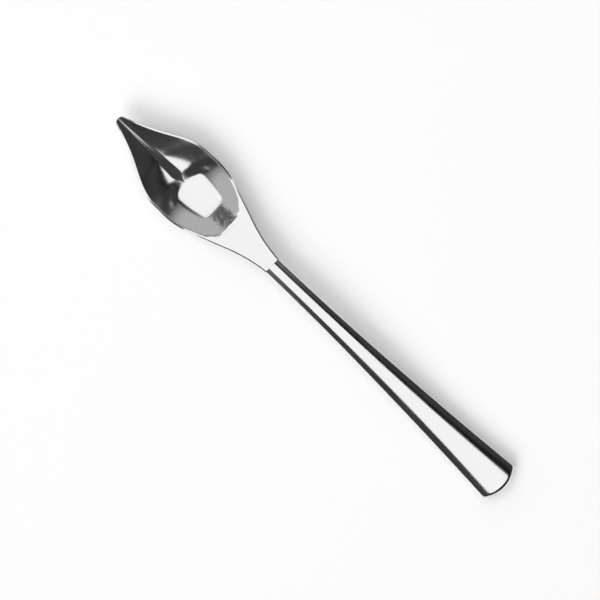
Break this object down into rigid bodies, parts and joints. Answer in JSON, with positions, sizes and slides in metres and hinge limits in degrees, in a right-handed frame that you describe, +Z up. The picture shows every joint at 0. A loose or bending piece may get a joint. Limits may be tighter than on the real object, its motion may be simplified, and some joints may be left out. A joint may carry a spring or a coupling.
{
  "type": "plating spoon",
  "caption": "Polished steel plating spoon with a leaf-shaped bowl, a creased pouring point and a flared hollow handle.",
  "frame": {"origin": "on the table under the middle of the spoon's length and width", "axes": "+X runs from the pouring point to the butt of the handle, +Y across, +Z up out of the bowl"},
  "size_m": [0.2049, 0.0298, 0.0092],
  "materials": {
    "mirror_steel": "mirror polished stainless steel",
    "handle_steel": "bright polished stainless steel",
    "bedding_cement": "cast, matt"
  },
  "bodies": {
    "root": {"bowl": "mirror_steel", "handle_upper_shell": "handle_steel", "handle_lower_shell": "handle_steel", "tang_bedding": "bedding_cement"}
  },
  "joints": []
}
